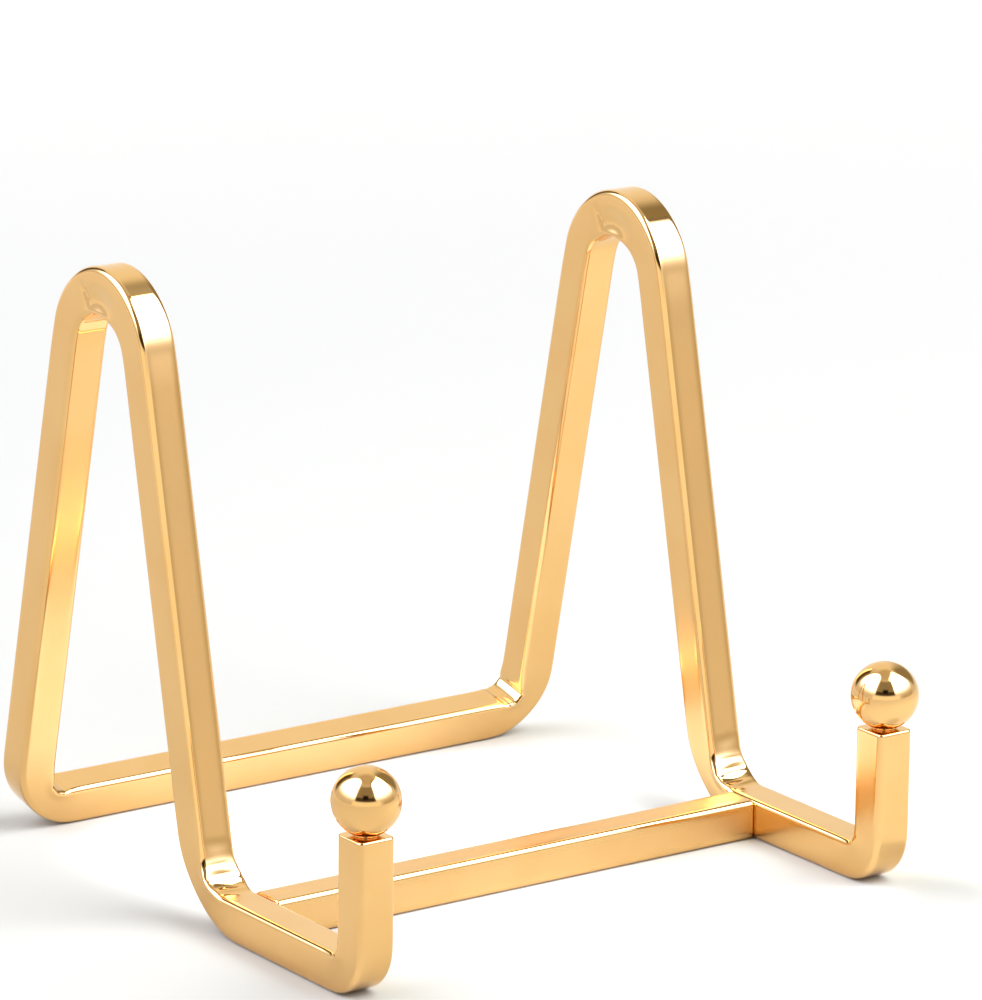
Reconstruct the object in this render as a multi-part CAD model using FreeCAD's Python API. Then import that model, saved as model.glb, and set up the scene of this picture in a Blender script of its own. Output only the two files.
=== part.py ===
import FreeCAD, Part
import math
import os

# A welded steel stand that holds a photo album, a framed card or a plate upright on a shelf.
# One square bar is bent into both side frames and the rear bar between them. A second length of the
# same bar is welded between the feet, and a ball is welded on top of each post.
#
# Frame: millimetres, +X right, +Y to the back, +Z up. The origin is on the floor, in the middle of the
# stand from side to side and from front to back.

# Driving dimensions: the bar
BAR_SIZE = 6.0  # width and thickness of the square bar
EDGE_RADIUS = 0.6  # rounding of the bar's four long edges

# Driving dimensions: the stand
FRAME_SPACING = 90.5  # between the centre planes of the two side frames
STAND_HEIGHT = 91.0  # floor to the top of the apex bends
POST_HEIGHT = 23.7  # floor to the flat top of a post
FOOT_LENGTH = 38.8  # centre line of a post to the corner where the front leg rises
FRONT_LEAN = 12.0  # front leg from upright, degrees
BACK_LEAN = 12.0  # back leg from upright, degrees

# Driving dimensions: the inside radius of each kind of bend
POST_BEND = 1.2  # post to foot
HEEL_BEND = 9.5  # foot to front leg
APEX_BEND = 6.4  # front leg to back leg
REAR_BEND = 4.2  # back leg to rear bar

# Driving dimensions: what is welded on
CROSSBAR_TO_HEEL = 9.5  # centre line of the crossbar to the corner where the front leg rises
BALL_DIAMETER = 10.0
BALL_SEAT = 0.1  # depth of the flat that the ball stands on
BALL_WELD_RADIUS = 1.8  # outside radius of the weld ring under a ball
CROSSBAR_WELD_LEG = 1.2  # width of a crossbar weld bead along either face it joins

X_AXIS = FreeCAD.Vector(1, 0, 0)
Z_AXIS = FreeCAD.Vector(0, 0, 1)

half_bar = BAR_SIZE / 2
ball_radius = BALL_DIAMETER / 2
front_lean = math.radians(FRONT_LEAN)
back_lean = math.radians(BACK_LEAN)


def side_plane_points():
    """The corners of a side frame's centre line, as (y, z), with the stand centred on the origin."""
    # The rear bar leans with the back legs, so it rests on one long edge.
    leaning_half = (half_bar - EDGE_RADIUS) * (math.cos(back_lean) + math.sin(back_lean)) + EDGE_RADIUS
    apex_radius = APEX_BEND + half_bar
    bend_centre_z = STAND_HEIGHT - half_bar - apex_radius
    half_angle = (front_lean + back_lean) / 2
    bisector_lean = (back_lean - front_lean) / 2
    apex_z = bend_centre_z + apex_radius * math.cos(bisector_lean) / math.sin(half_angle)
    heel_to_apex = (apex_z - half_bar) * math.tan(front_lean)
    apex_to_rear = (apex_z - leaning_half) * math.tan(back_lean)
    post_to_rear = FOOT_LENGTH + heel_to_apex + apex_to_rear
    front_overhang = max(ball_radius, half_bar)
    post_y = (front_overhang - post_to_rear - leaning_half) / 2
    heel_y = post_y + FOOT_LENGTH
    return {
        "post_top": (post_y, POST_HEIGHT),
        "toe": (post_y, half_bar),
        "heel": (heel_y, half_bar),
        "apex": (heel_y + heel_to_apex, apex_z),
        "rear": (post_y + post_to_rear, leaning_half),
    }


def bar_section(centre, side, normal):
    """The bar's cross-section: a rounded square at centre, with its sides along two unit vectors."""
    flat = half_bar - EDGE_RADIUS
    arc_middle = flat + EDGE_RADIUS * math.sqrt(0.5)
    edges = []
    for quarter in range(4):
        turn = FreeCAD.Rotation(side.cross(normal), 90 * quarter)
        out = turn.multVec(side)
        along = turn.multVec(normal)
        face_start = centre + out * half_bar - along * flat
        face_end = centre + out * half_bar + along * flat
        corner = centre + out * arc_middle + along * arc_middle
        next_face = centre + out * flat + along * half_bar
        edges.append(Part.LineSegment(face_start, face_end).toShape())
        edges.append(Part.Arc(face_end, corner, next_face).toShape())
    return Part.Face(Part.Wire(edges))


def bend_bar(corners, inside_radii, side):
    """The bar along a route of straight runs, with one round bend at each corner between its two ends."""
    pieces = []
    run_start = corners[0]
    for index in range(1, len(corners)):
        along = (corners[index] - corners[index - 1]).normalize()
        normal = along.cross(side)
        section = bar_section(run_start, side, normal)
        if index == len(corners) - 1:
            pieces.append(section.extrude(corners[index] - run_start))
            break
        onward = (corners[index + 1] - corners[index]).normalize()
        turn = along.getAngle(onward)
        radius = inside_radii[index - 1] + half_bar
        bend_start = corners[index] - along * radius * math.tan(turn / 2)
        bend_axis = along.cross(onward).normalize()
        bend_centre = bend_start + bend_axis.cross(along) * radius
        pieces.append(section.extrude(bend_start - run_start))
        bend_section = bar_section(bend_start, side, normal)
        pieces.append(bend_section.revolve(bend_centre, bend_axis, math.degrees(turn)))
        spin = FreeCAD.Rotation(bend_axis, math.degrees(turn))
        side = spin.multVec(side)
        run_start = bend_centre + spin.multVec(bend_start - bend_centre)
    return pieces[0].multiFuse(pieces[1:]).removeSplitter()


def make_bent_bar(side_frame):
    """Left post, foot and legs, the rear bar, then the same bends mirrored up to the right post's top."""
    order = ["post_top", "toe", "heel", "apex", "rear"]
    left = [FreeCAD.Vector(-FRAME_SPACING / 2, *side_frame[name]) for name in order]
    right = [FreeCAD.Vector(FRAME_SPACING / 2, *side_frame[name]) for name in reversed(order)]
    bends = [POST_BEND, HEEL_BEND, APEX_BEND, REAR_BEND]
    return bend_bar(left + right, bends + bends[::-1], X_AXIS)


def crossbar_centre_y(side_frame):
    """The crossbar joins the feet where they begin to bend up into the front legs."""
    return side_frame["heel"][0] - CROSSBAR_TO_HEEL


def make_crossbar(side_frame):
    """A straight bar between the inner faces of the feet, level with them."""
    inner_face = FRAME_SPACING / 2 - half_bar
    left_end = FreeCAD.Vector(-inner_face, crossbar_centre_y(side_frame), half_bar)
    section = bar_section(left_end, FreeCAD.Vector(0, 1, 0), Z_AXIS)
    return section.extrude(X_AXIS * (2 * inner_face))


def make_crossbar_weld(side_frame, hand):
    """A bead down the corner between the back of the crossbar and a foot; hand is -1 left, 1 right."""
    foot_face = hand * (FRAME_SPACING / 2 - half_bar)
    bar_back = crossbar_centre_y(side_frame) + half_bar
    corner = FreeCAD.Vector(foot_face, bar_back, EDGE_RADIUS)
    on_bar = corner - X_AXIS * (hand * CROSSBAR_WELD_LEG)
    on_foot = corner + FreeCAD.Vector(0, CROSSBAR_WELD_LEG, 0)
    # The bead's open face is slightly hollow, between the flat chord and the corner.
    hollow = (on_bar + on_foot) * 0.4 + corner * 0.2
    outline = Part.Wire([
        Part.LineSegment(corner, on_bar).toShape(),
        Part.Arc(on_bar, hollow, on_foot).toShape(),
        Part.LineSegment(on_foot, corner).toShape(),
    ])
    return Part.Face(outline).extrude(Z_AXIS * (BAR_SIZE - 2 * EDGE_RADIUS))


def make_ball(side_frame, hand):
    """A ball on a post's flat top, cut flat where it stands."""
    foot = FreeCAD.Vector(hand * FRAME_SPACING / 2, *side_frame["post_top"])
    ball = Part.makeSphere(ball_radius, foot + Z_AXIS * (ball_radius - BALL_SEAT))
    below = Part.makeBox(BALL_DIAMETER, BALL_DIAMETER, BALL_DIAMETER)
    below.translate(foot - FreeCAD.Vector(ball_radius, ball_radius, BALL_DIAMETER))
    return ball.cut(below)


def make_ball_weld(side_frame, hand):
    """A ring of weld in the narrow gap round the ball's seat."""
    foot = FreeCAD.Vector(hand * FRAME_SPACING / 2, *side_frame["post_top"])
    centre_height = ball_radius - BALL_SEAT

    def on_ball(radius):
        """A point of the ball's underside, at a distance from the post's axis."""
        height = centre_height - math.sqrt(ball_radius ** 2 - radius ** 2)
        return foot + FreeCAD.Vector(radius, 0, height)

    seat_radius = math.sqrt(ball_radius ** 2 - centre_height ** 2)
    seat_edge = foot + X_AXIS * seat_radius
    top = on_ball(BALL_WELD_RADIUS)
    bottom = foot + X_AXIS * BALL_WELD_RADIUS
    face_middle = (top + bottom) * 0.5 - X_AXIS * ((top.z - bottom.z) / 4)
    outline = Part.Wire([
        Part.LineSegment(bottom, seat_edge).toShape(),
        Part.Arc(seat_edge, on_ball((seat_radius + BALL_WELD_RADIUS) / 2), top).toShape(),
        Part.Arc(top, face_middle, bottom).toShape(),
    ])
    return Part.Face(outline).revolve(foot, Z_AXIS, 360)


side_frame = side_plane_points()
nodes = {
    "bent_bar": make_bent_bar(side_frame),
    "crossbar": make_crossbar(side_frame),
}
for name, hand in (("left", -1), ("right", 1)):
    nodes["ball_" + name] = make_ball(side_frame, hand)
    nodes["ball_weld_" + name] = make_ball_weld(side_frame, hand)
    nodes["crossbar_weld_" + name] = make_crossbar_weld(side_frame, hand)

os.makedirs("parts", exist_ok=True)
for name, shape in nodes.items():
    shape.exportStep("parts/" + name + ".step")
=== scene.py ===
import math

import bmesh
import bpy
from mathutils import Matrix, Vector


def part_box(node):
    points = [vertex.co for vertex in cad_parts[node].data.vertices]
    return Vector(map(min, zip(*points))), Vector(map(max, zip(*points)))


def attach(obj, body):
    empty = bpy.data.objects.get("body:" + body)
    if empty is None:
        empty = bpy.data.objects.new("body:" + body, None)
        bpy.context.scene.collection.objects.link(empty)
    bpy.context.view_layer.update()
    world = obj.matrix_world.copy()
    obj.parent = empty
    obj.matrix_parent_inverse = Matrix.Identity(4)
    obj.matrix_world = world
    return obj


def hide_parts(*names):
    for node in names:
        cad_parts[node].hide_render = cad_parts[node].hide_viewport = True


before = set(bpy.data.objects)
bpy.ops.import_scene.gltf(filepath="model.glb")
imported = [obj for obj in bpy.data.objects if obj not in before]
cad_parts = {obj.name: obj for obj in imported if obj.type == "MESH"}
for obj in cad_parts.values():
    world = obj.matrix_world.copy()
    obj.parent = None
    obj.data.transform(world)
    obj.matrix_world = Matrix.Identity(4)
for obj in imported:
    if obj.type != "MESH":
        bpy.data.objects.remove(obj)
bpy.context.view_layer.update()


# ---------------------------------------------------------------------------------------------------
# The bent bar: one length of square steel bar, cold bent round formers into both side frames and the
# rear bar between them. Each bend squeezes the inner face into a bulge with small creases and draws
# the outer face flat, and the whole bar is then polished and plated gold.
# ---------------------------------------------------------------------------------------------------
MM = 0.001
bar_low, bar_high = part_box("bent_bar")
crossbar_low, crossbar_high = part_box("crossbar")
BAR = crossbar_high.z - crossbar_low.z
HALF = BAR / 2
SEAT_RADIUS = 0.6 * MM  # of the edge that the rear bar stands on
EDGE_RADIUS = 0.9 * MM
FRONT_LEAN = math.radians(12)
BACK_LEAN = math.radians(12)
FOOT_LENGTH = 38.8 * MM
POST_BEND, HEEL_BEND, APEX_BEND, REAR_BEND = 1.2 * MM, 9.5 * MM, 6.4 * MM, 4.2 * MM
post_top_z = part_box("ball_left")[0].z
frame_x = bar_low.x + HALF
post_y = bar_low.y + HALF

# Corners of the left side frame's centre line.
bisector_lean = (BACK_LEAN - FRONT_LEAN) / 2
apex_half_angle = (BACK_LEAN + FRONT_LEAN) / 2
apex_radius = APEX_BEND + HALF
leaning_half = (HALF - SEAT_RADIUS) * (math.cos(BACK_LEAN) + math.sin(BACK_LEAN)) + SEAT_RADIUS
heel_y = post_y + FOOT_LENGTH
apex_z = bar_high.z - HALF - apex_radius + apex_radius * math.cos(bisector_lean) / math.sin(apex_half_angle)
apex_y = heel_y + (apex_z - HALF) * math.tan(FRONT_LEAN)
rear_y = apex_y + (apex_z - leaning_half) * math.tan(BACK_LEAN)
post_top = Vector((frame_x, post_y, post_top_z))
toe = Vector((frame_x, post_y, HALF))
heel = Vector((frame_x, heel_y, HALF))
apex = Vector((frame_x, apex_y, apex_z))
rear = Vector((frame_x, rear_y, leaning_half))
rear_middle = Vector((0, rear_y, leaning_half))

CORNER_SEGMENTS = 8
FACE_CUTS = 15
RING_GAP = 0.45 * MM
DENSE_LENGTH = 6 * MM


def deselect_all():
    if bpy.context.object and bpy.context.object.mode != "OBJECT":
        bpy.ops.object.mode_set(mode="OBJECT")
    bpy.ops.object.select_all(action="DESELECT")


def name_piece(name):
    piece = bpy.context.object
    piece.name = name
    piece.data.name = name
    return piece


def select_edges(piece, chosen):
    """Leaves only the edges that chosen(start, end) accepts selected, in edge mode."""
    bpy.ops.object.mode_set(mode="EDIT")
    bpy.ops.mesh.select_mode(type="EDGE")
    bpy.ops.mesh.select_all(action="DESELECT")
    bpy.ops.object.mode_set(mode="OBJECT")
    vertices = piece.data.vertices
    for edge in piece.data.edges:
        start, end = (vertices[index].co for index in edge.vertices)
        edge.select = chosen(start, end)
    bpy.ops.object.mode_set(mode="EDIT")


deselect_all()
bpy.ops.mesh.primitive_plane_add(size=BAR, location=post_top)
bent_bar = name_piece("bent_bar_shown")
bpy.ops.object.mode_set(mode="EDIT")
bpy.ops.mesh.bevel(offset=EDGE_RADIUS, offset_type="OFFSET", segments=CORNER_SEGMENTS, profile=0.5, affect="VERTICES")
bpy.ops.object.mode_set(mode="OBJECT")
bpy.ops.object.transform_apply(location=True, rotation=True, scale=True)
select_edges(bent_bar, lambda start, end: (end - start).length > HALF)
bpy.ops.mesh.subdivide(number_cuts=FACE_CUTS)
bpy.ops.mesh.select_all(action="SELECT")
bpy.ops.mesh.delete(type="ONLY_FACE")
bpy.ops.mesh.select_all(action="SELECT")

bends = {}
here = post_top.copy()


def draw_out(distance, along):
    """Extrudes the open end of the bar, with close rings near both ends of the run for the bends' creases."""
    global here
    dense = min(DENSE_LENGTH, distance / 2)
    rings = max(1, round(dense / RING_GAP))
    lengths = [dense / rings] * rings
    middle = distance - 2 * dense
    steps = lengths + ([middle] if middle > 1e-6 else []) + lengths
    for step in steps:
        bpy.ops.mesh.extrude_region_move(TRANSFORM_OT_translate={"value": along * step})
    here = here + along * distance


def bend_to(name, corner, onward_corner, inside_radius):
    """Runs straight up to a bend, then spins the open end round it."""
    global here
    along = (corner - here).normalized()
    onward = (onward_corner - corner).normalized()
    turn = along.angle(onward)
    radius = inside_radius + HALF
    start = corner - along * radius * math.tan(turn / 2)
    axis = along.cross(onward).normalized()
    centre = start + axis.cross(along) * radius
    draw_out((start - here).length, along)
    steps = max(20, round(radius * turn / RING_GAP))
    bpy.ops.mesh.spin(steps=steps, angle=turn, center=centre, axis=-axis)
    outward = (start - centre).normalized()
    bends[name] = (centre, axis, outward, along, turn, radius)
    here = centre + Matrix.Rotation(turn, 3, axis) @ (start - centre)


bend_to("post", toe, heel, POST_BEND)
bend_to("heel", heel, apex, HEEL_BEND)
bend_to("apex", apex, rear, APEX_BEND)
bend_to("rear", rear, rear_middle, REAR_BEND)
draw_out((rear_middle - here).length, Vector((1, 0, 0)))

# The bend marks. A point near a bend is described by how far along the bar it is, how far out from the
# bend's centre line, and how far to the side, all in millimetres.
def smooth(low, high, value):
    part = min(1, max(0, (value - low) / (high - low)))
    return part * part * (3 - 2 * part)


def bump(centre, width, value):
    """A smooth hill that is 1 at its centre and 0 beyond its width on either side."""
    part = abs(value - centre) / width
    return 0 if part >= 1 else (math.cos(math.pi * part) + 1) / 2


def slope(start, peak, end, value):
    """A smooth hill that climbs from start to its peak and falls away, not always evenly, to end."""
    return smooth(start, peak, value) if value < peak else smooth(end, peak, value)


def post_marks(s, out, side, length):
    near = bump(length / 2, length / 2 + 2.2, s)
    crease = 0.4 * bump(length / 2, 1.0, s) * smooth(-1.8, -3, out)
    swell = 0.32 * near * smooth(1, -3, out) ** 2
    return -0.2 * near * smooth(-1, 3, out) + crease, swell


def tightened(angle, half_turn, radius, tight):
    """How far outside an arc a tighter arc between the same two straight runs lies, at an angle from the middle."""
    back = (radius - tight) / math.cos(half_turn)
    reach = half_turn - math.atan((radius - tight) * math.tan(half_turn) / radius)
    angle = abs(angle)
    if angle < reach:
        return back * math.cos(angle) + math.sqrt(tight ** 2 - (back * math.sin(angle)) ** 2) - radius
    if angle < half_turn:
        return radius / math.cos(half_turn - angle) - radius
    return 0


def heel_marks(s, out, side, length):
    near = bump(length / 2, length / 2 + 1.5, s)
    inner = smooth(1.5, -3, out)
    across = max(0, 1 - (side / 3.1) ** 2)
    place = s - length / 2 + 0.12 * side
    half_turn = (math.pi / 2 - FRONT_LEAN) / 2
    angle = (s - length / 2) / length * 2 * half_turn
    pinch = tightened(angle, half_turn, HEEL_BEND / MM, 5.6) * inner
    swell = 0.5 * bump(length * 0.5, 4.6, s) * smooth(-1.0, -3, out) ** 2 - 0.12 * near * smooth(0, 3, out)
    crown = -0.3 * slope(-0.5, 2.4, 7.5, place) * across
    folds = 0.10 * bump(2.7 - 0.07 * side ** 2, 0.5, place) + 0.24 * bump(1.0 - 0.05 * side ** 2, 0.7, place)
    folds += 0.24 * bump(-1.0, 1.3, place) * bump(0.6, 3.0, side) - 0.14 * bump(-2.4, 1.0, place)
    return pinch + (folds * across + crown) * inner ** 3 - 0.35 * near * smooth(-1, 3, out), swell


def apex_marks(s, out, side, length):
    near = bump(length / 2, length / 2 + 1, s)
    flank = slope(length * 0.5, length * 0.80, length + 5.9, max(s, length - s))
    swell = 0.45 * bump(length / 2, 8.5, s) * smooth(-1.8, -3, out) ** 1.5 - 0.15 * near * smooth(-1, 3, out)
    dimple = -0.45 * bump(length * 0.48, 6.5, s) * bump(-1.1, 2.0, out)
    crease = -0.4 * bump(length * 0.64 + 0.3 * out, 0.6, s) * bump(-0.4, 2.0, out)
    bulge = -0.9 * smooth(-3, length * 0.34, s) * smooth(length + 3, length * 0.66, s) * smooth(1.5, -3, out)
    return -0.28 * flank * smooth(-1, 3, out) + bulge, swell + dimple + crease


def rear_marks(s, out, side, length):
    near = bump(length / 2, length / 2 + 1.8, s)
    inner = smooth(1.0, -3, out)
    across = max(0, 1 - (side / 3.1) ** 2)
    place = s - length / 2
    angle = place / length * math.pi / 2
    pinch = tightened(angle, math.pi / 4, REAR_BEND / MM, 1.7) * inner
    swell = 0.5 * near * smooth(0, -3, out) ** 2
    folds = 0.15 * bump(0.12 * side, 0.7, place) * across + 0.22 * bump(-1.5, 0.9, place) + 0.2 * bump(2.6, 0.9, place)
    return pinch + folds * inner ** 3 - 0.3 * near * smooth(-1, 3, out), swell


marks = {"post": post_marks, "heel": heel_marks, "apex": apex_marks, "rear": rear_marks}
bpy.ops.object.mode_set(mode="OBJECT")
for name, (centre, axis, outward, along, turn, radius) in bends.items():
    length = radius * turn
    end_outward = Matrix.Rotation(turn, 3, axis) @ outward
    end_along = Matrix.Rotation(turn, 3, axis) @ along
    for vertex in bent_bar.data.vertices:
        offset = vertex.co - centre
        side = offset.dot(axis)
        before = offset.dot(along)
        after = offset.dot(end_along)
        if abs(side) > HALF * 1.3:
            continue
        if before < 0 and abs(offset.dot(outward) - radius) < HALF * 1.3:
            s, out, direction = before, offset.dot(outward) - radius, outward
        elif after > 0 and abs(offset.dot(end_outward) - radius) < HALF * 1.3:
            s, out, direction = length + after, offset.dot(end_outward) - radius, end_outward
        elif before >= 0 and after <= 0 or turn > math.pi / 2:
            flat = offset - axis * side
            if abs(flat.length - radius) > HALF * 1.3:
                continue
            angle = math.atan2(flat.dot(along), flat.dot(outward))
            s, out, direction = angle * radius, flat.length - radius, flat.normalized()
        else:
            continue
        if s < -DENSE_LENGTH or s > length + DENSE_LENGTH:
            continue
        shift, swell = marks[name](s / MM, out / MM, side / MM, length / MM)
        vertex.co += direction * shift * MM + axis * (side / HALF) * swell * MM

RIM_RADIUS = 0.32 * MM
RIM_SEGMENTS = 5
RIM_TURN = math.pi / 2 / RIM_SEGMENTS

# The open end at the post's top is closed and its rim softened, and the other half is the mirror image.
select_edges(bent_bar, lambda start, end: min(start.z, end.z) > post_top_z - 1e-6 and abs(start.y - post_y) < BAR)
bpy.ops.mesh.edge_face_add()
for step in range(RIM_SEGMENTS):
    bpy.ops.mesh.inset(thickness=RIM_RADIUS * (math.sin((step + 1) * RIM_TURN) - math.sin(step * RIM_TURN)))
bpy.ops.object.mode_set(mode="OBJECT")


def apply_modifiers(piece):
    deselect_all()
    bpy.context.view_layer.objects.active = piece
    piece.select_set(True)
    for modifier in list(piece.modifiers):
        bpy.ops.object.modifier_apply(modifier=modifier.name)


for vertex in bent_bar.data.vertices:
    if abs(vertex.co.x) < 1e-5:
        vertex.co.x = 0
    if vertex.co.z > post_top_z - 1e-6 and abs(vertex.co.y - post_y) < BAR:
        from_axis = max(abs(vertex.co.x - frame_x), abs(vertex.co.y - post_y))
        corner_x = max(0, abs(vertex.co.x - frame_x) - HALF + EDGE_RADIUS)
        corner_y = max(0, abs(vertex.co.y - post_y) - HALF + EDGE_RADIUS)
        inset = HALF - (math.hypot(corner_x, corner_y) + HALF - EDGE_RADIUS if corner_x and corner_y else from_axis)
        inset = min(RIM_RADIUS, max(0, inset))
        vertex.co.z = post_top_z - RIM_RADIUS + math.sqrt(max(0, RIM_RADIUS ** 2 - (RIM_RADIUS - inset) ** 2))
mirror = bent_bar.modifiers.new("other_half", "MIRROR")
mirror.use_axis = (True, False, False)
mirror.use_mirror_merge = True
mirror.merge_threshold = 0.02 * MM
apply_modifiers(bent_bar)
bpy.ops.object.mode_set(mode="EDIT")
bpy.ops.mesh.select_all(action="SELECT")
bpy.ops.mesh.remove_doubles(threshold=0.001 * MM)
bpy.ops.mesh.normals_make_consistent(inside=False)
bpy.ops.object.mode_set(mode="OBJECT")
bpy.ops.object.shade_smooth()
weigh = bent_bar.modifiers.new("even_faces", "WEIGHTED_NORMAL")
weigh.keep_sharp = True
apply_modifiers(bent_bar)


FLAT_BLUR = 4


def mark_flats(piece):
    """Stores how flat the surface is at each point: the drawn flats keep a softer shine than the edges and
    the bends, which the polishing wheel reaches first."""
    shape = bmesh.new()
    shape.from_mesh(piece.data)
    values = []
    for vertex in shape.verts:
        sharpest = max((abs(edge.calc_face_angle(0)) for edge in vertex.link_edges), default=0)
        values.append(1 - smooth(math.radians(0.3), math.radians(2), sharpest))
    for step in range(FLAT_BLUR):
        nearby = [[edge.other_vert(vertex).index for edge in vertex.link_edges] for vertex in shape.verts]
        values = [(own + sum(values[index] for index in around)) / (1 + len(around)) for own, around in zip(values, nearby)]
    shape.free()
    layer = piece.data.attributes.new("flat", "FLOAT", "POINT")
    layer.data.foreach_set("value", values)


mark_flats(bent_bar)


class Socket:
    """One output of a shader node, so that a pattern is written as ordinary arithmetic."""

    def __init__(self, tree, link):
        self.tree = tree
        self.link = link

    def maths(self, operation, first, second=None):
        values = [first] if second is None else [first, second]
        return self.tree.add("ShaderNodeMath", {"operation": operation}, values)

    def __add__(self, other):
        return self.maths("ADD", self, other)

    __radd__ = __add__

    def __mul__(self, other):
        return self.maths("MULTIPLY", self, other)

    __rmul__ = __mul__

    def __sub__(self, other):
        return self.maths("SUBTRACT", self, other)

    def __rsub__(self, other):
        return self.maths("SUBTRACT", other, self)

    def __truediv__(self, other):
        return self.maths("DIVIDE", self, other)

    def __pow__(self, other):
        return self.maths("POWER", self, other)

    def __abs__(self):
        return self.maths("ABSOLUTE", self)


class Nodes:
    """A material's or the room's node tree."""

    def __init__(self, owner):
        owner.use_nodes = True
        self.tree = owner.node_tree
        self.tree.nodes.clear()

    def add(self, kind, settings=None, inputs=(), output=0):
        node = self.tree.nodes.new(kind)
        for key, value in (settings or {}).items():
            if key == "stops":
                ramp = node.color_ramp
                while len(ramp.elements) < len(value):
                    ramp.elements.new(0.5)
                for element, (position, colour) in zip(ramp.elements, value):
                    element.position, element.color = position, (*colour, 1)
            else:
                setattr(node, key, value)
        pairs = inputs.items() if isinstance(inputs, dict) else enumerate(inputs)
        for key, value in pairs:
            if isinstance(value, Socket):
                self.tree.links.new(value.link, node.inputs[key])
            else:
                node.inputs[key].default_value = value
        return Socket(self, node.outputs[output]) if node.outputs else None

    def step(self, value, low, high):
        """0 below low, 1 above high, and smooth between them; high may be the lower one."""
        settings = {"interpolation_type": "SMOOTHSTEP"}
        inputs = {"Value": value, "From Min": low, "From Max": high}
        return self.add("ShaderNodeMapRange", settings, inputs)

    def mix(self, factor, first, second):
        inputs = {"Factor": factor, 6: first, 7: second}
        return self.add("ShaderNodeMix", {"data_type": "RGBA"}, inputs, output=2)


def make_gold(name, colour, deep_colour, polish, satin, grain):
    """Bright gold plating over polished steel: faint clouding of the plating, fine polishing marks and a
    little orange peel, whose depth is grain in metres. The roughness is polish on edges and bends, and
    satin on the drawn flats."""
    material = bpy.data.materials.new(name)
    nodes = Nodes(material)
    place = nodes.add("ShaderNodeTexCoord", output="Object")
    flat = nodes.add("ShaderNodeAttribute", {"attribute_name": "flat"}, output="Fac")
    cloud = nodes.add("ShaderNodeTexNoise", {}, {"Vector": place, "Scale": 90, "Detail": 3, "Roughness": 0.55})
    fine = nodes.add("ShaderNodeTexNoise", {}, {"Vector": place, "Scale": 1400, "Detail": 2, "Roughness": 0.5})
    peel = nodes.add("ShaderNodeTexNoise", {}, {"Vector": place, "Scale": 260, "Detail": 1.5, "Roughness": 0.4})
    tone = nodes.mix(nodes.step(cloud, 0.35, 0.75), (*colour, 1), (*deep_colour, 1))
    shine = (polish + flat * (satin - polish)) * (0.78 + cloud * 0.35 + fine * 0.05)
    bump_node = nodes.add("ShaderNodeBump", {}, {"Height": peel, "Distance": grain, "Strength": 1.0})
    shader = nodes.add("ShaderNodeBsdfPrincipled", {}, {
        "Base Color": tone, "Roughness": shine, "Metallic": 1.0, "Normal": bump_node,
    })
    nodes.add("ShaderNodeOutputMaterial", {}, {"Surface": shader})
    return material


GOLD = (0.815, 0.508, 0.206)
DEEP_GOLD = (0.79, 0.478, 0.182)
POLISH, SATIN = 0.07, 0.245
PEEL_DEPTH = 0.000003
bar_gold = make_gold("plated_bar_gold", GOLD, DEEP_GOLD, POLISH, SATIN, PEEL_DEPTH)
bent_bar.data.materials.clear()
bent_bar.data.materials.append(bar_gold)
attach(bent_bar, "root")
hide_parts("bent_bar")


# ---------------------------------------------------------------------------------------------------
# The crossbar: a straight length of the same square bar between the feet, level with them. Its sawn
# ends are chamfered a little and butt against the feet, where they are welded.
# ---------------------------------------------------------------------------------------------------
CHAMFER = 0.35 * MM
CROSSBAR_SATIN = 0.42
CROSSBAR_CUTS = 11
CROSSBAR_RINGS = 280
crossbar_centre = (crossbar_low + crossbar_high) / 2
deselect_all()
bpy.ops.mesh.primitive_cube_add(size=1, location=crossbar_centre, scale=crossbar_high - crossbar_low)
crossbar = name_piece("crossbar_shown")
bpy.ops.object.transform_apply(location=True, rotation=True, scale=True)
select_edges(crossbar, lambda start, end: abs(end.x - start.x) > BAR)
bpy.ops.mesh.bevel(offset=EDGE_RADIUS, offset_type="OFFSET", segments=CORNER_SEGMENTS, profile=0.5, affect="EDGES")
select_edges(crossbar, lambda start, end: abs(end.x - start.x) > BAR)
bpy.ops.mesh.subdivide(number_cuts=CROSSBAR_RINGS)
select_edges(crossbar, lambda start, end: abs(end.x - start.x) < 1e-6 and (end - start).length > HALF)
bpy.ops.mesh.subdivide(number_cuts=CROSSBAR_CUTS)
select_edges(crossbar, lambda start, end: abs(end.x - start.x) < 1e-6 and abs(start.x) > crossbar_high.x - MM)
bpy.ops.mesh.bevel(offset=CHAMFER, offset_type="OFFSET", segments=2, profile=0.5, affect="EDGES")
bpy.ops.object.mode_set(mode="OBJECT")
bpy.ops.object.shade_smooth()
weigh = crossbar.modifiers.new("even_faces", "WEIGHTED_NORMAL")
apply_modifiers(crossbar)
mark_flats(crossbar)
crossbar.data.materials.append(make_gold("plated_crossbar_gold", GOLD, DEEP_GOLD, POLISH, CROSSBAR_SATIN, PEEL_DEPTH))
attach(crossbar, "root")
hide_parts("crossbar")


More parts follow.
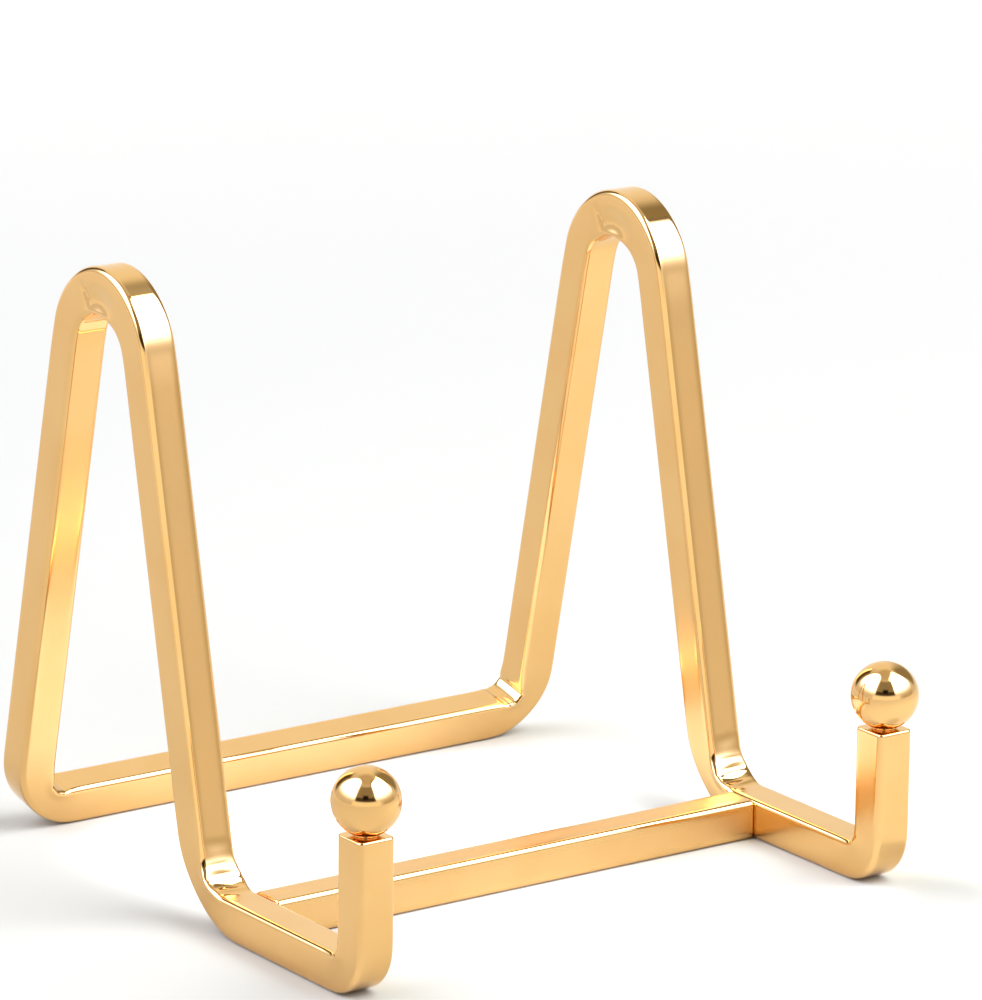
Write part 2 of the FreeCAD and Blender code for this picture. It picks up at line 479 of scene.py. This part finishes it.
# ---------------------------------------------------------------------------------------------------
# The crossbar's welds: a short bead down the corner behind each end of the crossbar, laid before the
# plating and covered by it. The beads are slightly rippled.
# ---------------------------------------------------------------------------------------------------
BEAD_SHARE = 0.86
RIPPLE_LENGTH = 1.1 * MM
weld_gold = make_gold("plated_weld_gold", (0.77, 0.46, 0.17), (0.70, 0.39, 0.12), 0.16, 0.16, 0.00002)
low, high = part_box("crossbar_weld_left")
deselect_all()
bpy.ops.mesh.primitive_cylinder_add(
    vertices=24, radius=(high.y - low.y) * BEAD_SHARE, depth=high.z - low.z,
    location=(low.x, low.y, (low.z + high.z) / 2))
bead_left = name_piece("crossbar_bead_left")
bpy.ops.object.transform_apply(location=True, rotation=True, scale=True)
select_edges(bead_left, lambda start, end: abs(end.z - start.z) > MM)
bpy.ops.mesh.subdivide(number_cuts=18)
bpy.ops.object.mode_set(mode="OBJECT")
for vertex in bead_left.data.vertices:
    ripple = 1 + 0.06 * math.sin((vertex.co.z - low.z) / RIPPLE_LENGTH * 2 * math.pi)
    ends = 1 - 0.5 * smooth(0.6, 0, min(vertex.co.z - low.z, high.z - vertex.co.z) / MM)
    vertex.co.x = low.x + (vertex.co.x - low.x) * ripple * ends
    vertex.co.y = low.y + (vertex.co.y - low.y) * ripple * ends
bpy.ops.object.shade_smooth()
bead_left.data.materials.append(weld_gold)
bpy.ops.object.duplicate(linked=False)
bead_right = name_piece("crossbar_bead_right")
bpy.ops.object.mode_set(mode="EDIT")
bpy.ops.mesh.select_all(action="SELECT")
bpy.ops.transform.mirror(constraint_axis=(True, False, False), center_override=(0, 0, 0))
bpy.ops.mesh.normals_make_consistent(inside=False)
bpy.ops.object.mode_set(mode="OBJECT")
for bead, side_name in ((bead_left, "left"), (bead_right, "right")):
    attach(bead, "root")
    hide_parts("crossbar_weld_" + side_name)


# ---------------------------------------------------------------------------------------------------
# The balls: turned steel balls on the flat tops of the posts. Each is ground flat where it stands,
# projection-welded there and plated with the rest, brighter than the drawn bar.
# ---------------------------------------------------------------------------------------------------
BALL_POLISH = 0.09
ball_gold = make_gold("plated_ball_gold", GOLD, DEEP_GOLD, BALL_POLISH, BALL_POLISH, PEEL_DEPTH / 2)
low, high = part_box("ball_left")
ball_radius = (high.x - low.x) / 2
ball_centre = Vector(((low.x + high.x) / 2, (low.y + high.y) / 2, high.z - ball_radius))
to_right_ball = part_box("ball_right")[0] - low


def copy_across(name):
    """Copies the piece just made to the other post, with a mesh of its own."""
    bpy.ops.object.duplicate(linked=False)
    bpy.ops.transform.translate(value=(to_right_ball.x, 0, 0))
    bpy.ops.object.transform_apply(location=True, rotation=True, scale=True)
    return name_piece(name)


deselect_all()
bpy.ops.mesh.primitive_uv_sphere_add(segments=96, ring_count=64, radius=ball_radius, location=ball_centre)
ball_left = name_piece("ball_shown_left")
bpy.ops.object.transform_apply(location=True, rotation=True, scale=True)
bpy.ops.object.mode_set(mode="EDIT")
bpy.ops.mesh.select_all(action="SELECT")
bpy.ops.mesh.bisect(plane_co=(0, 0, low.z), plane_no=(0, 0, 1), use_fill=True, clear_inner=True)
bpy.ops.object.mode_set(mode="OBJECT")
bpy.ops.object.shade_smooth_by_angle(angle=math.radians(40))
ball_left.data.materials.append(ball_gold)
ball_right = copy_across("ball_shown_right")
for ball, side_name in ((ball_left, "left"), (ball_right, "right")):
    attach(ball, "root")
    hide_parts("ball_" + side_name)


# ---------------------------------------------------------------------------------------------------
# The ball welds: a low, slightly uneven ring of weld in the narrow gap round each ball's seat.
# ---------------------------------------------------------------------------------------------------
low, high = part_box("ball_weld_left")
ring_centre = (low + high) / 2
ring_outer = (high.x - low.x) / 2
ring_height = high.z - low.z
deselect_all()
bpy.ops.mesh.primitive_torus_add(
    major_segments=72, minor_segments=16, location=(ring_centre.x, ring_centre.y, low.z + ring_height / 2),
    major_radius=ring_outer - ring_height * 0.75, minor_radius=ring_height / 2)
ring_left = name_piece("ball_ring_left")
bpy.ops.object.transform_apply(location=True, rotation=True, scale=True)
for vertex in ring_left.data.vertices:
    around = math.atan2(vertex.co.y - ring_centre.y, vertex.co.x - ring_centre.x)
    spread = 1 + 0.02 * math.sin(5 * around) + 0.015 * math.sin(11 * around + 1)
    vertex.co.x = ring_centre.x + (vertex.co.x - ring_centre.x) * spread
    vertex.co.y = ring_centre.y + (vertex.co.y - ring_centre.y) * spread
bpy.ops.object.shade_smooth()
ring_left.data.materials.append(weld_gold)
ring_right = copy_across("ball_ring_right")
for ring, side_name in ((ring_left, "left"), (ring_right, "right")):
    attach(ring, "root")
    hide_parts("ball_weld_" + side_name)


# ---------------------------------------------------------------------------------------------------
# The floor: a pale paper sheet that the stand stands on, with light and shade painted into its colour: a painted
# fall-off away from the stand's front right, a painted lighter patch under the stand and a painted contact shadow at
# the right toe.
# ---------------------------------------------------------------------------------------------------
FLOOR_SIZE = 6.0
deselect_all()
bpy.ops.mesh.primitive_plane_add(size=FLOOR_SIZE, location=(0, 0, 0))
floor = name_piece("floor")
paper = bpy.data.materials.new("paper_with_painted_light")
nodes = Nodes(paper)
place = nodes.add("ShaderNodeTexCoord", output="Object")
tooth = nodes.add("ShaderNodeTexNoise", {}, {"Vector": place, "Scale": 30, "Detail": 2})
# Painted light fall-off: the paper is painted brightest round a spot at the stand's front right and darker from 2 to 17
# cm off it, standing in for the light falling off towards the back; from 25 to 90 cm off it is lighter again.
away = nodes.add("ShaderNodeVectorMath", {"operation": "DISTANCE"}, {0: place, 1: (0.08, -0.055, 0)}, output="Value")
painted_falloff = nodes.step(away, 0.02, 0.17) * 0.95 + tooth * 0.05
paper_and_painted_light = nodes.mix(painted_falloff, (0.53, 0.515, 0.40, 1), (0.435, 0.42, 0.325, 1))
paper_and_painted_light = nodes.mix(nodes.step(away, 0.25, 0.9), paper_and_painted_light, (0.56, 0.53, 0.40, 1))
# Painted light: a lighter patch of paper under the middle of the stand, standing in for light on the floor there, so
# that the legs reflect it brighter.
inside = nodes.add("ShaderNodeVectorMath", {"operation": "DISTANCE"}, {0: place, 1: (-0.003, 0.018, 0)}, output="Value")
paper_and_painted_light = nodes.mix(nodes.step(inside, 0.05, 0.028), paper_and_painted_light, (0.72, 0.72, 0.61, 1))
# Painted shadow: a darker spot of paper at the right post's toe, standing in for a contact shadow.
toe_painted_shadow = nodes.add("ShaderNodeVectorMath", {"operation": "DISTANCE"}, {0: place, 1: (0.050, -0.054, 0)}, output="Value")
paper_and_painted_light = nodes.mix(nodes.step(toe_painted_shadow, 0.012, 0.003), paper_and_painted_light, (0.40, 0.385, 0.30, 1))
sheet = nodes.add("ShaderNodeBsdfPrincipled", {}, {"Base Color": paper_and_painted_light, "Roughness": 0.9, "Specular IOR Level": 0.0})
nodes.add("ShaderNodeOutputMaterial", {}, {"Surface": sheet})
floor.data.materials.append(paper)


# ---------------------------------------------------------------------------------------------------
# The camera: a long lens, a little above the stand, looking from its left front.
# ---------------------------------------------------------------------------------------------------
VIEW_TURN = math.radians(-35.344)
VIEW_HEIGHT = math.radians(15.486)
VIEW_ROLL = math.radians(0.673)
VIEW_DISTANCE = 1.0243
FOCAL_LENGTH = 251.28
AIM_RIGHT, AIM_UP, AIM_Y, AIM_Z = 0.01442, 0.000807, 0.015745, 0.05

to_camera = Vector((math.sin(VIEW_TURN) * math.cos(VIEW_HEIGHT), -math.cos(VIEW_TURN) * math.cos(VIEW_HEIGHT),
                    math.sin(VIEW_HEIGHT)))
level_right = Vector((math.cos(VIEW_TURN), math.sin(VIEW_TURN), 0))
level_up = to_camera.cross(level_right)
aim = level_right * AIM_RIGHT + level_up * AIM_UP + Vector((0, AIM_Y, AIM_Z))
camera_right = level_right * math.cos(VIEW_ROLL) + level_up * math.sin(VIEW_ROLL)
camera_up = level_up * math.cos(VIEW_ROLL) - level_right * math.sin(VIEW_ROLL)
deselect_all()
bpy.ops.object.camera_add()
camera = bpy.context.object
camera.name = "camera"
camera.data.sensor_fit = "VERTICAL"
camera.data.sensor_height = 36
camera.data.lens = FOCAL_LENGTH
camera.data.clip_start = 0.05
camera.data.clip_end = 20
turned = Matrix((camera_right, camera_up, to_camera)).transposed().to_4x4()
turned.translation = aim + to_camera * VIEW_DISTANCE
camera.matrix_world = turned
bpy.context.scene.camera = camera


# ---------------------------------------------------------------------------------------------------
# The room: a white tent with two big soft lights at the front, a dim gap between them, and dark poles
# at their far edges.
# ---------------------------------------------------------------------------------------------------
room = bpy.data.worlds.new("room")
bpy.context.scene.world = room
nodes = Nodes(room)
direction = nodes.add("ShaderNodeTexCoord", output="Generated")


def dot(vector):
    settings = {"operation": "DOT_PRODUCT"}
    return nodes.add("ShaderNodeVectorMath", settings, {0: direction, 1: vector}, output="Value")


to_right = dot(level_right)
to_front = dot(Vector((math.sin(VIEW_TURN), -math.cos(VIEW_TURN), 0)))
turn = to_right.maths("ARCTAN2", to_right, to_front) * (180 / math.pi)
rise = to_right.maths("ARCSINE", dot(Vector((0, 0, 1)))) * (180 / math.pi)


def patch(left, right, bottom, top, soft):
    """1 inside a soft-edged patch of the room's wall, given in degrees of turn and rise."""
    inside = nodes.step(turn, left - soft, left + soft) * nodes.step(turn, right + soft, right - soft)
    return inside * nodes.step(rise, bottom - soft, bottom + soft) * nodes.step(rise, top + soft, top - soft)


def from_box(middle_turn, middle_rise, half_width, half_height):
    """How far a direction is from the middle of a soft light with rounded upper corners; its edge is at 1."""
    above = (rise - middle_rise) / half_height
    upper = above.maths("MAXIMUM", above, above * 0.4)
    return abs((turn - middle_turn) / half_width) ** 3 + abs(upper) ** 3


SOFTBOX = (4.6, 4.9, 7.0, 1)
wall = nodes.mix(nodes.step(abs(turn), 135, 160), (0.86, 0.87, 0.90, 1), (1.12, 1.10, 1.02, 1))
level = nodes.mix(nodes.step(rise, 60, 76), wall, (0.70, 0.64, 0.53, 1))
level = nodes.mix(patch(-45, 50, -3, 12, 4), level, (1.3, 1.28, 1.2, 1))
level = nodes.mix(patch(59, 104, -3, 9, 4), level, (0.68, 0.64, 0.54, 1))
level = nodes.mix(patch(-36, 34, 15, 62, 4), level, (0.34, 0.31, 0.24, 1))
level = nodes.mix(patch(-35, 33, 14, 26, 2), level, (0.07, 0.06, 0.04, 1))
level = nodes.mix(patch(-11, 9, 21, 34, 4), level, (0.005, 0.004, 0.003, 1))
pole = turn + (rise - 30) * 0.4
right_pole = nodes.step(pole, 110, 120) * nodes.step(pole, 176, 146) * nodes.step(rise, 2, 12) * nodes.step(rise, 64, 54)
level = nodes.mix(right_pole, level, (0.34, 0.31, 0.22, 1))
level = nodes.mix(patch(-148, -126, 4, 46, 4), level, (0.12, 0.10, 0.06, 1))
for middle_turn, middle_rise, half_width, half_height, rim_level in (
        (-78, 50, 41, 26, 0.5), (71, 47, 39, 25, 0.25)):
    distance = from_box(middle_turn, middle_rise, half_width, half_height)
    rim = nodes.step(distance, 1.8, 1.5) * nodes.step(rise, 24, 44)
    level = nodes.mix(rim, level, (rim_level, rim_level * 0.88, rim_level * 0.62, 1))
    bright = nodes.step(distance, 1.25, 0.7) * nodes.step(rise, 2, 30) ** 3
    level = nodes.mix(bright, level, SOFTBOX)
glow = nodes.add("ShaderNodeBackground", {}, {"Color": level, "Strength": 1.0})
nodes.add("ShaderNodeOutputWorld", {}, {"Surface": glow})

deselect_all()
bpy.ops.object.light_add(type="AREA", location=(0.22, -0.25, 0.45))
lamp = bpy.context.object
lamp.name = "front_lamp"
lamp.data.size = 0.35
lamp.data.energy = 2.3
lamp.data.color = (0.9, 0.95, 1.0)
lamp.rotation_euler = (Vector((0.02, -0.06, 0)) - lamp.location).to_track_quat("-Z", "Y").to_euler()

bpy.context.scene.view_settings.view_transform = "Standard"
